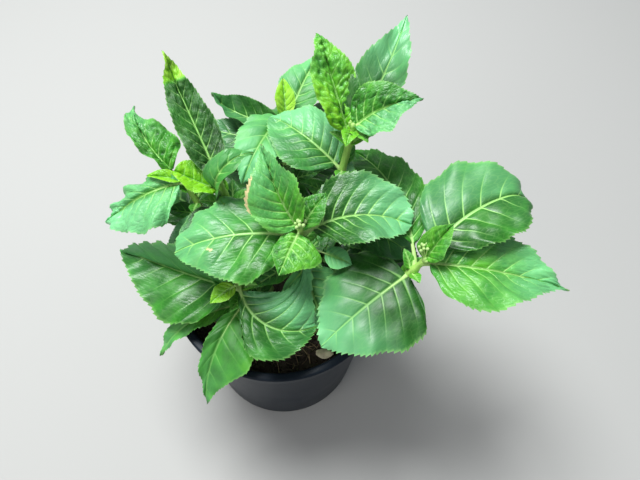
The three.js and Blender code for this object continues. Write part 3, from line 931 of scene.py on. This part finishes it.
# A shoot's stem from one place on it to another, thicker at each node where a leaf sits
def stemRings(shoot, low, high, rng):
    length = np.linalg.norm(stemPoint(shoot, 1)[0] - stemPoint(shoot, 0)[0])
    count = max(6, int((high - low) * length / stem["step"]))
    share = np.linspace(low, high, count)
    radius = stemRadius(share)
    for spec in shoot["leaves"]:
        away = (share - spec["at"]) / stem["nodeLength"]
        radius = radius * (1 + stem["nodeSwell"] * np.exp(-away ** 2))
    angle = np.linspace(0, 2 * np.pi, stem["sides"], endpoint=False)
    ridges = 1
    for many, height in stem["ridges"]:
        ridges = ridges + height * np.cos(many * angle + rng.uniform(0, 6))
    rough = rng.normal(0, stem["roughness"], (count, stem["sides"]))
    return share, stemPoint(shoot, share), radius[:, None] * (ridges + rough)


# Buds: an egg at the tip, small folded scales round it, and a cluster of round buds on two shoots
buds = {
    "girth": 0.95,  # of the stem's tip
    "egg": 0.85,  # of the girth
    "tall": 1.5,  # height of the egg over its width
    "scales": 2,
    "scale": 0.55,
    "scaleTall": 2.6,
    "scaleLean": 0.45,
    "clusterShift": {"centre": (-1, 0, 0), "right": (-3, 7, 5)},  # the shoots with a cluster
    "clusterCount": 9,
    "clusterSpread": 5.5,
    "clusterTurn": 2.4,  # from bud to bud, so that they spread evenly
    "clusterLift": 6.5,
    "budRadius": 1.9,
    "budTall": 1.25,
    "stalkRadius": 0.8,
}


def addEgg(heap, centre, radius, tall, tilt, sides=12, rings=9, **values):
    polar = np.linspace(0, np.pi, rings + 2)[1:-1]
    angle = np.linspace(0, 2 * np.pi, sides, endpoint=False)
    ring = np.sin(polar)[:, None, None] * np.stack([np.cos(angle), np.sin(angle), 0 * angle], -1)
    shape = ring + np.array([0, 0, tall]) * -np.cos(polar)[:, None, None]
    axis = unit(np.array(tilt, float))
    turn = np.array(Vector((0, 0, 1)).rotation_difference(Vector(axis)).to_matrix())
    body = np.concatenate([shape.reshape(-1, 3), [[0, 0, -tall], [0, 0, tall]]]) * radius @ turn.T + centre
    heap.add(body, *closedRings(rings, sides), **values)


def addBuds(heap, name, shoot, rng):
    tip = stemPoint(shoot, 1)[0]
    size = stem["tipRadius"] * buds["girth"]
    addEgg(heap, tip + [0, 0, size * 0.5], size * buds["egg"], buds["tall"], (0.1, 0.05, 1),
           age=0.0, tone=0.9)
    for turn in range(buds["scales"]):
        angle = rng.uniform(0, 2 * np.pi) + turn * np.pi
        away = np.array([math.cos(angle), math.sin(angle), 0])
        place = tip + (away + [0, 0, 0.9]) * size * 0.8
        tilt = away * buds["scaleLean"] + [0, 0, 1]
        addEgg(heap, place, size * buds["scale"], buds["scaleTall"], tilt, age=0.0, tone=0.95)
    if name not in buds["clusterShift"]:
        return
    for k in range(buds["clusterCount"]):
        angle = k * buds["clusterTurn"]
        away = np.array([math.cos(angle), math.sin(angle), 0])
        spread = buds["clusterSpread"] * math.sqrt(k / buds["clusterCount"])
        lift = size + buds["clusterLift"] - 0.35 * spread + rng.uniform(-0.6, 0.6)
        place = tip + away * spread + [0, 0, lift] + buds["clusterShift"][name]
        radius = buds["budRadius"] * rng.uniform(0.75, 1.15)
        addEgg(heap, place, radius, buds["budTall"], away * 0.5 + [0, 0, 1], sides=8, rings=6,
               age=0.0, tone=1.25)
        path = np.linspace(tip + [0, 0, size * 0.6], place, 5)
        addTube(heap, path, np.full(5, buds["stalkRadius"]), 6, age=np.float64(0.0), tone=np.float64(0.9))


# Leaf surface: green by tone, pale veins drawn from their distances, a fine net between them
leafLook = {
    "greens": [  # from dark over mature to young leaves
        (0.0, (0.008, 0.058, 0.005)),
        (0.24, (0.018, 0.135, 0.009)),
        (0.4, (0.042, 0.260, 0.017)),
        (0.56, (0.105, 0.415, 0.020)),
        (0.8, (0.235, 0.600, 0.012)),
        (1.0, (0.470, 0.850, 0.090)),
    ],
    "vein": (0.38, 0.74, 0.20),
    # the pale mint of the painted sheen, and the most of it that a leaf takes
    "bloom": (0.25, 0.74, 0.33),
    "dry": (0.74, 0.62, 0.30),
    "underside": (0.17, 0.30, 0.14),
    "undersideShare": 0.62,
    "paintedSheenShare": 0.75,
    # how much the painted shade darkens the creases
    "paintedCreaseShade": 0.36,
    "ladder": 4.2,  # from rung to rung of the net between two side veins
    "netShare": 0.1,
    "netFine": 0.75,
    "patches": 0.045,
    "grain": 2.2,
    "gloss": 0.09,
    "roughness": (0.27, 0.42),
    "roughUnder": 0.22,
    "roughMatte": 0.18,
    "reliefDepth": 0.75,
    "reliefStrength": 0.9,
}


def leafMaterial():
    paint = Paint("hydrangea_leaf")
    place = paint.attribute("bladePlace", "Vector")
    tone = paint.attribute("tone")
    vein = paint.attribute("vein")
    rib = paint.attribute("rib")
    swell = paint.attribute("swell")
    out = paint.attribute("out")
    age = paint.attribute("age")
    under = paint.attribute("underside")
    # patches of lighter and darker green, the base paler on young blades, darker on the swellings
    patches = paint.noise(place, leafLook["patches"])
    shifted = paint.math("ADD", tone, paint.fit(patches, 0.32, 0.68, -0.15, 0.13))
    foot = paint.fit(tone, 0.3, 0.7, -0.12, 0.12)
    foot = paint.math("MULTIPLY", paint.fit(age, 0.0, 0.55, 1.0, 0.0), foot)
    shifted = paint.math("ADD", shifted, foot)
    shifted = paint.math("ADD", shifted, paint.fit(swell, 0.0, 1.0, 0.03, -0.03))
    # painted shade: the creases between blisters are darkened
    crease = paint.math("MULTIPLY", paint.attribute("crease"), leafLook["paintedCreaseShade"])
    shifted = paint.math("SUBTRACT", shifted, crease)
    green = paint.ramp(paint.math("MULTIPLY", shifted, 0.8), leafLook["greens"])
    # painted sheen: the tip and halves are washed towards pale mint, standing in for the sky's reflection
    bloom = paint.math("MULTIPLY", paint.attribute("bloom"), leafLook["paintedSheenShare"])
    green = paint.mix(bloom, green, leafLook["bloom"])
    # pale veins, and faintly the net between them
    sideLine = paint.fit(vein, 0.45, 1.5, 1.0, 0.0, smooth=True)
    sideLine = paint.math("MULTIPLY", sideLine, paint.fit(out, 0.05, 0.8, 0.95, 0.08))
    midLine = paint.fit(rib, 0.55, 1.25, 0.95, 0.0, smooth=True)
    lines = paint.math("MAXIMUM", sideLine, midLine)
    net = paint.cells(paint.attribute("ladder", "Vector"), 1.0)
    netLine = paint.fit(net, 0.0, 0.10, 1.0, 0.0, smooth=True)
    share = paint.math("MAXIMUM", lines, paint.math("MULTIPLY", netLine, leafLook["netShare"]))
    share = paint.math("MULTIPLY", share, paint.attribute("veins"))
    color = paint.mix(share, green, leafLook["vein"])
    color = paint.mix(paint.fit(out, 0.95, 1.0, 0.0, 0.3), color, leafLook["vein"])
    color = paint.mix(paint.fit(paint.attribute("dry"), 0.3, 0.6), color, leafLook["dry"])
    pale = paint.mix(leafLook["undersideShare"], color, leafLook["underside"])
    color = paint.mix(under, color, pale)
    # relief: sunken veins, and small blisters between the lines of both nets
    fineNet = paint.cells(place, leafLook["netFine"])
    height = paint.math("POWER", net, 0.6)
    height = paint.math("SUBTRACT", height, paint.math("MULTIPLY", lines, 0.5))
    height = paint.math("ADD", height, paint.math("MULTIPLY", paint.math("POWER", fineNet, 0.7), 0.3))
    grain = paint.noise(place, leafLook["grain"], 2.0)
    height = paint.math("ADD", height, paint.math("MULTIPLY", grain, 0.12))
    height = paint.math("MULTIPLY", height, paint.fit(paint.attribute("puff"), 0.5, 1.7, 0.16, 1.0))
    normal = paint.bump(height, leafLook["reliefDepth"], leafLook["reliefStrength"])
    # duller underneath, on matte leaves and along the fine net
    fineLine = paint.fit(fineNet, 0.0, 0.12, 1.0, 0.0, smooth=True)
    rough = paint.fit(paint.noise(place, leafLook["gloss"], 2.0), 0.3, 0.7, *leafLook["roughness"])
    dull = paint.math("MULTIPLY", paint.attribute("matte"), leafLook["roughMatte"])
    rough = paint.math("ADD", rough, paint.math("MULTIPLY", under, leafLook["roughUnder"]))
    rough = paint.math("ADD", rough, dull)
    rough = paint.math("ADD", rough, paint.math("MULTIPLY", fineLine, 0.05))
    return paint.finish(Base_Color=color, Roughness=rough, Normal=normal)


# Stem surface: green, greyer low down, with fine streaks and small brown specks
stemLook = {
    "young": (0.40, 0.68, 0.14),
    "old": (0.26, 0.42, 0.12),
    "speck": (0.10, 0.055, 0.03),
    "bud": (0.46, 0.68, 0.24),
    "streaks": 260.0,
    "specks": 420.0,
    "reliefDepth": 0.5,
}


def stemMaterial():
    paint = Paint("green_stem")
    place = paint.objectPlace()
    age = paint.attribute("age")
    tone = paint.attribute("tone")
    color = paint.mix(paint.fit(age, 0.1, 0.9), stemLook["young"], stemLook["old"])
    color = paint.mix(paint.fit(tone, 0.6, 1.2), color, stemLook["bud"])
    streaks = paint.noise(place, stemLook["streaks"], 4.0)
    color = paint.mix(paint.fit(streaks, 0.4, 0.75, 0.0, 0.3), color, stemLook["old"])
    specks = paint.cells(place, stemLook["specks"], "F1")
    specks = paint.fit(specks, 0.0, 0.22, 1.0, 0.0, smooth=True)
    specks = paint.math("MULTIPLY", specks, paint.fit(age, 0.0, 0.5, 0.15, 0.9))
    color = paint.mix(specks, color, stemLook["speck"])
    height = paint.math("ADD", streaks, paint.math("MULTIPLY", specks, 0.6))
    normal = paint.bump(height, stemLook["reliefDepth"], 0.7)
    rough = paint.fit(streaks, 0.3, 0.7, 0.42, 0.62)
    return paint.finish(Base_Color=color, Roughness=rough, Normal=normal)


# Shoots: the leaves of each are one piece, its green stem with stalks and buds another
def sharpenRims(piece):
    mesh = piece.data
    rim = np.zeros(len(mesh.vertices), np.float32)
    mesh.attributes["rim"].data.foreach_get("value", rim)
    ends = np.zeros(len(mesh.edges) * 2, np.int32)
    mesh.edges.foreach_get("vertices", ends)
    sharp = (rim[ends.reshape(-1, 2)] > 0.5).all(axis=1)
    mesh.attributes.new("sharp_edge", "BOOLEAN", "EDGE").data.foreach_set("value", sharp)
    mesh.attributes.remove(mesh.attributes["rim"])


def markUnderside(piece, sheets):
    marks = []
    for spec, flat, underNumbers, topNumbers in sheets:
        faces = (topNumbers.shape[0] - 1) * (topNumbers.shape[1] - 1)
        marks.append(np.concatenate([np.zeros(faces), np.ones(faces)]))
    setAttribute(piece, "underside", np.concatenate(marks), "FACE")


def makeShoots():
    leafPaint = leafMaterial()
    stemPaint = stemMaterial()
    for number, (name, shoot) in enumerate(shoots.items()):
        rng = np.random.default_rng(seed + number * 100)
        leaves, twigs, bare = Heap(), Heap(), Heap()
        leaves.sheets = []
        for spec in shoot["leaves"] + sproutLeaves(shoot, np.random.default_rng(seed + number)):
            line = LeafLine(shoot, spec)
            addLeaf(leaves, spec, line, rng)
            addStalk(twigs, spec, line)
        split = shoot["leafyFrom"]
        share, points, radii = stemRings(shoot, split, 1.0, rng)
        addTube(twigs, points, radii, stem["sides"], age=0.55 - 0.5 * share, tone=np.float64(0.4))
        addBuds(twigs, name, shoot, rng)
        share, points, radii = stemRings(shoot, -stem["sunk"], split + stem["overlap"], rng)
        addTube(bare, points, radii, stem["sides"], age=0.95 - 0.9 * share, tone=np.float64(0.3))
        piece = leaves.piece(f"leaves_{name}", leafPaint)
        sharpenRims(piece)
        markUnderside(piece, leaves.sheets)
        layOutSheets(piece, leaves.sheets)
        finishPiece(piece, [f"foliage_{name}"])
        finishPiece(twigs.piece(f"twigs_{name}", stemPaint), [f"foliage_{name}"])
        finishPiece(bare.piece(f"bare_stem_{name}", stemPaint), [f"stem_{name}"])
        print("shoot", name, len(shoot["leaves"]), "leaves", len(piece.data.polygons), "faces")


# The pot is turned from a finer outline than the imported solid, with rounded edges
def innerRadius(height):
    share = (height - pot["floor"]) / (pot["height"] - pot["edge"] - pot["floor"])
    top = pot["rimRadius"] - pot["rimOverhang"] - pot["wall"] - pot["edge"]
    low = pot["footRadius"] - pot["wall"]
    return low + (top - low) * share


def roundedCorner(before, corner, after, radius, steps=5):
    before, corner, after = (np.array(point, float) for point in (before, corner, after))
    start = corner + unit(before - corner) * radius
    stop = corner + unit(after - corner) * radius
    share = np.linspace(0, 1, steps)[:, None]
    return start * (1 - share) ** 2 + corner * 2 * share * (1 - share) + stop * share ** 2


def lathe(heap, profile, around, wobble=None, **values):
    angle = np.linspace(0, 2 * np.pi, around, endpoint=False)
    profile = np.asarray(profile, float)
    body = profile[1:-1]
    ring = np.stack([body[:, :1] * np.cos(angle), body[:, :1] * np.sin(angle), body[:, 1:] + 0 * angle], -1)
    if wobble is not None:
        ring = ring + wobble(ring)
    ends = [[0, 0, profile[0, 1]], [0, 0, profile[-1, 1]]]
    heap.add(np.concatenate([ring.reshape(-1, 3), ends]), *closedRings(len(body), around), **values)


def makePot():
    edge = pot["edge"]
    rim, height, foot = pot["rimRadius"], pot["height"], pot["footRadius"]
    neck = rim - pot["rimOverhang"]
    under = height - pot["rimHeight"]
    inner = neck - pot["wall"]
    floor, lip = pot["floor"], height - edge * 2
    # corners of the outline from the middle of the underside, out, up and in again, with their rounding
    corners = [
        ((0, 0), 0),
        ((foot, 0), edge),
        ((foot + 0.6, 8), 0.5),
        ((neck - edge, under), 1.2),
        ((rim - edge / 3, under), 1.2),
        ((rim, height - 0.2), 2.8),
        ((inner - edge / 2, height - 0.4), 2.2),
        ((innerRadius(lip), lip), 1.5),
        ((innerRadius(floor), floor), 2),
        ((0, floor), 0),
    ]
    profile = [corners[0][0]]
    for before, (spot, radius), after in zip(corners, corners[1:], corners[2:]):
        profile.extend(roundedCorner(before[0], spot, after[0], radius))
    profile.append(corners[-1][0])
    # long straight stretches get rings between and close to both ends, so that shading stays even
    fine = [profile[0]]
    for low, high in zip(profile[:-1], profile[1:]):
        length = np.linalg.norm(np.subtract(high, low))
        shares = [1.0]
        if length > 4:
            close = 0.8 / length
            between = np.linspace(0, 1, int(length / pot["ringStep"]) + 2)[1:-1]
            shares = [close, *between, 1 - close, 1.0]
        for share in shares:
            fine.append(tuple(np.add(low, np.subtract(high, low) * share)))
    heap = Heap()
    lathe(heap, fine, pot["around"])
    piece = heap.piece("nursery_pot", potMaterial())
    finishPiece(piece, ["pot"])
    print("pot", len(piece.data.polygons), "faces")


# Dull plastic with a little dust in clouds, finer spots in them and a few dried splashes
def potMaterial():
    paint = Paint("pot_plastic")
    place = paint.objectPlace()
    grain = paint.noise(place, pot["grain"], 2.0)
    clouds = paint.noise(place, pot["clouds"], 5.0)
    spots = paint.noise(place, pot["spots"], 6.0, 0.7)
    dust = paint.fit(clouds, 0.42, 0.72, 0.0, 0.2)
    dust = paint.math("MULTIPLY", dust, paint.fit(spots, 0.35, 0.65, 0.35, 1.0))
    color = paint.mix(dust, pot["color"], pot["dust"])
    splash = paint.fit(paint.cells(place, pot["splashes"], "F1"), 0.05, 0.16, 0.5, 0.0, smooth=True)
    splash = paint.math("MULTIPLY", splash, paint.fit(spots, 0.5, 0.7, 0.0, 1.0))
    color = paint.mix(splash, color, pot["dust"])
    height = paint.math("ADD", paint.math("MULTIPLY", grain, 0.25), paint.math("MULTIPLY", spots, 0.4))
    normal = paint.bump(height, pot["reliefDepth"], 0.5)
    rough = paint.fit(dust, 0.0, 0.5, 0.34, 0.62)
    return paint.finish(Base_Color=color, Roughness=rough, Normal=normal, Specular_IOR_Level=pot["gleam"])


# Soil: a lumpy crumbly top on a closed plug, with loose crumbs and pale fibres lying on it
def bumpySoil(points):
    rng = np.random.default_rng(seed + 50)
    x, y = points[..., 0], points[..., 1]
    height = 0 * x
    for layer in range(soil["lumpLayers"]):
        share = 1 / 1.17 ** layer
        size = soil["lumpLength"] * share
        angle = rng.uniform(0, 2 * np.pi)
        phase = rng.uniform(0, 2 * np.pi, 2)
        across = (x * math.cos(angle) + y * math.sin(angle)) / size * 2 * np.pi + phase[0]
        along = (y * math.cos(angle) - x * math.sin(angle)) / size * 2 * np.pi + phase[1]
        height = height + np.sin(across + 1.3 * np.sin(along)) * share
    return height / 3.2 * soil["lumps"]


def makeSoil():
    paint = soilMaterial()
    top = soilTop - soil["sunk"]
    edge = innerRadius(top) - soil["wallGap"]
    bottom = pot["floor"] + soil["overFloor"]
    foot = innerRadius(bottom) - soil["wallGap"]
    rings = [(edge * (k / soil["rings"]) ** 0.8, top) for k in range(soil["rings"], 0, -1)]
    profile = [(0, bottom), (foot, bottom), (edge, top - 6), *rings, (0, top)]

    # only the top is lumpy, and less so near the wall
    def lumps(ring):
        radius = np.hypot(ring[..., 0], ring[..., 1])
        share = np.where(ring[..., 2] > top - 1, smoothStep(edge, edge - 8, radius), 0)
        shift = np.zeros_like(ring)
        shift[..., 2] = share * bumpySoil(ring)
        return shift

    plug = Heap()
    lathe(plug, profile, soil["around"], lumps, kind=0.0)
    surface = plug.piece("peat_surface", paint)
    finishPiece(surface, ["potting_soil"])
    loose = Heap()
    rng = np.random.default_rng(seed + 60)
    addCrumbs(loose, top, rng)
    addFibres(loose, top, rng)
    crumbs = loose.piece("peat_crumbs", paint)
    finishPiece(crumbs, ["potting_soil"])
    print("soil", len(surface.data.polygons), "and", len(crumbs.data.polygons), "faces")


def addCrumbs(heap, top, rng):
    least, most = soil["crumbSizes"]
    for k in range(soil["crumbs"]):
        radius = soil["looseRadius"] * math.sqrt(rng.uniform())
        angle = rng.uniform(0, 2 * np.pi)
        size = min(most, least + rng.exponential(0.8))
        place = np.array([radius * math.cos(angle), radius * math.sin(angle), 0])
        place[2] = top + bumpySoil(place[None])[0] + size * 0.25
        addEgg(heap, place, size, rng.uniform(0.5, 0.9), rng.normal(0, 1, 3), sides=6, rings=3,
               kind=rng.uniform(0.1, 0.75))


# Each fibre is a gently bent hair that lies on the lumps and arches a little over them
def addFibres(heap, top, rng):
    steps = 7
    share = np.linspace(-0.5, 0.5, steps)
    upward = np.tile([0.0, 0.0, 1.0], (steps, 1))
    for k in range(soil["fibres"]):
        radius = (soil["looseRadius"] - 4) * math.sqrt(rng.uniform())
        angle = rng.uniform(0, 2 * np.pi)
        turn = rng.uniform(0, 2 * np.pi)
        length = rng.uniform(*soil["fibreLengths"])
        heading = turn + rng.uniform(-0.8, 0.8) * share
        x = radius * math.cos(angle) + np.cos(heading) * share * length
        y = radius * math.sin(angle) + np.sin(heading) * share * length
        path = np.stack([x, y, 0 * x], -1)
        path[:, 2] = top + bumpySoil(path) + 0.7 + 1.2 * (1 - 4 * share ** 2) * rng.uniform()
        if np.hypot(x, y).max() < soil["looseRadius"]:
            addTube(heap, path, np.full(steps, rng.uniform(*soil["fibreRadii"])), 5, up=upward,
                    kind=np.float64(rng.uniform(0.8, 1.0)))


# Kind runs from the dark surface (0) over crumbs to straw-coloured fibres (1)
def soilMaterial():
    paint = Paint("peat")
    place = paint.objectPlace()
    kind = paint.attribute("kind")
    clods = paint.noise(place, soil["clods"], 6.0, 0.65)
    grit = paint.noise(place, soil["grit"], 4.0, 0.7)
    color = paint.mix(paint.fit(clods, 0.35, 0.7), soil["dark"], soil["brown"])
    color = paint.mix(paint.fit(kind, 0.15, 0.75, 0.0, 0.7), color, soil["brown"])
    color = paint.mix(paint.fit(kind, 0.78, 0.95), color, soil["straw"])
    color = paint.mix(paint.fit(grit, 0.62, 0.8, 0.0, 0.5), color, soil["straw"])
    height = paint.math("ADD", clods, paint.math("MULTIPLY", grit, 0.5))
    normal = paint.bump(height, soil["reliefDepth"], 0.9)
    return paint.finish(Base_Color=color, Roughness=0.9, Normal=normal)


# A dry scrap of leaf at the front, with its ends and edges turned up. It should lie on the soil, but hangs
# about 10 mm over it.
scrap = {
    "place": (54, -82, soilTop + 9),
    "length": 18,
    "width": 11,
    "thick": 0.7,
    "endLift": 2.2,
    "edgeLift": 1.2,
    "steps": 9,
    "color": (0.97, 0.88, 0.62),
}


def makeScrap():
    rows = []
    for share in np.linspace(0, 1, scrap["steps"]):
        half = scrap["width"] / 2 * math.sin(math.pi * (0.12 + 0.8 * share))
        lift = scrap["endLift"] * (share - 0.5) ** 2 * 4
        for side in (-1, 0, 1):
            rows.append([(share - 0.5) * scrap["length"], side * half, lift + abs(side) * scrap["edgeLift"]])
    rows = np.array(rows) + scrap["place"]
    upper = np.arange(len(rows)).reshape(-1, 3)
    lower = upper + len(rows)
    border = np.concatenate([upper[:, 0], upper[-1, 1:], upper[-2::-1, 2], upper[0, 1:2]])
    following = np.roll(border, -1)
    walls = np.stack([following, border, border + len(rows), following + len(rows)], -1)
    heap = Heap()
    heap.add(np.concatenate([rows, rows - [0, 0, scrap["thick"]]]),
             np.concatenate([gridFaces(upper), gridFaces(lower)[:, ::-1], walls]))
    paint = Paint("dry_leaf")
    place = paint.objectPlace()
    stain = paint.noise(place, 180.0, 4.0)
    color = paint.mix(paint.fit(stain, 0.45, 0.8, 0.0, 0.5), scrap["color"], soil["straw"])
    material = paint.finish(Base_Color=color, Roughness=0.8, Normal=paint.bump(stain, 0.6, 0.8))
    finishPiece(heap.piece("dry_leaf_scrap", material))


def makeFloor():
    half = lights["floorSize"] / 2
    corners = np.array([[-half, -half, 0], [half, -half, 0], [half, half, 0], [-half, half, 0]], float)
    paint = Paint("floor")
    place = paint.objectPlace()
    cloud = paint.noise(place, 3.0, 3.0)
    color = paint.mix(paint.fit(cloud, 0.3, 0.7, 0.0, 0.06), lights["floorColor"], (0.5, 0.5, 0.5))
    material = paint.finish(Base_Color=color, Roughness=0.8)
    floor = makeMesh("floor", corners, [np.array([[0, 1, 2, 3]])], material)


makeCamera()
makeLights()
makeFloor()
print("camera, lights and floor")
makePot()
makeSoil()
makeScrap()
makeShoots()
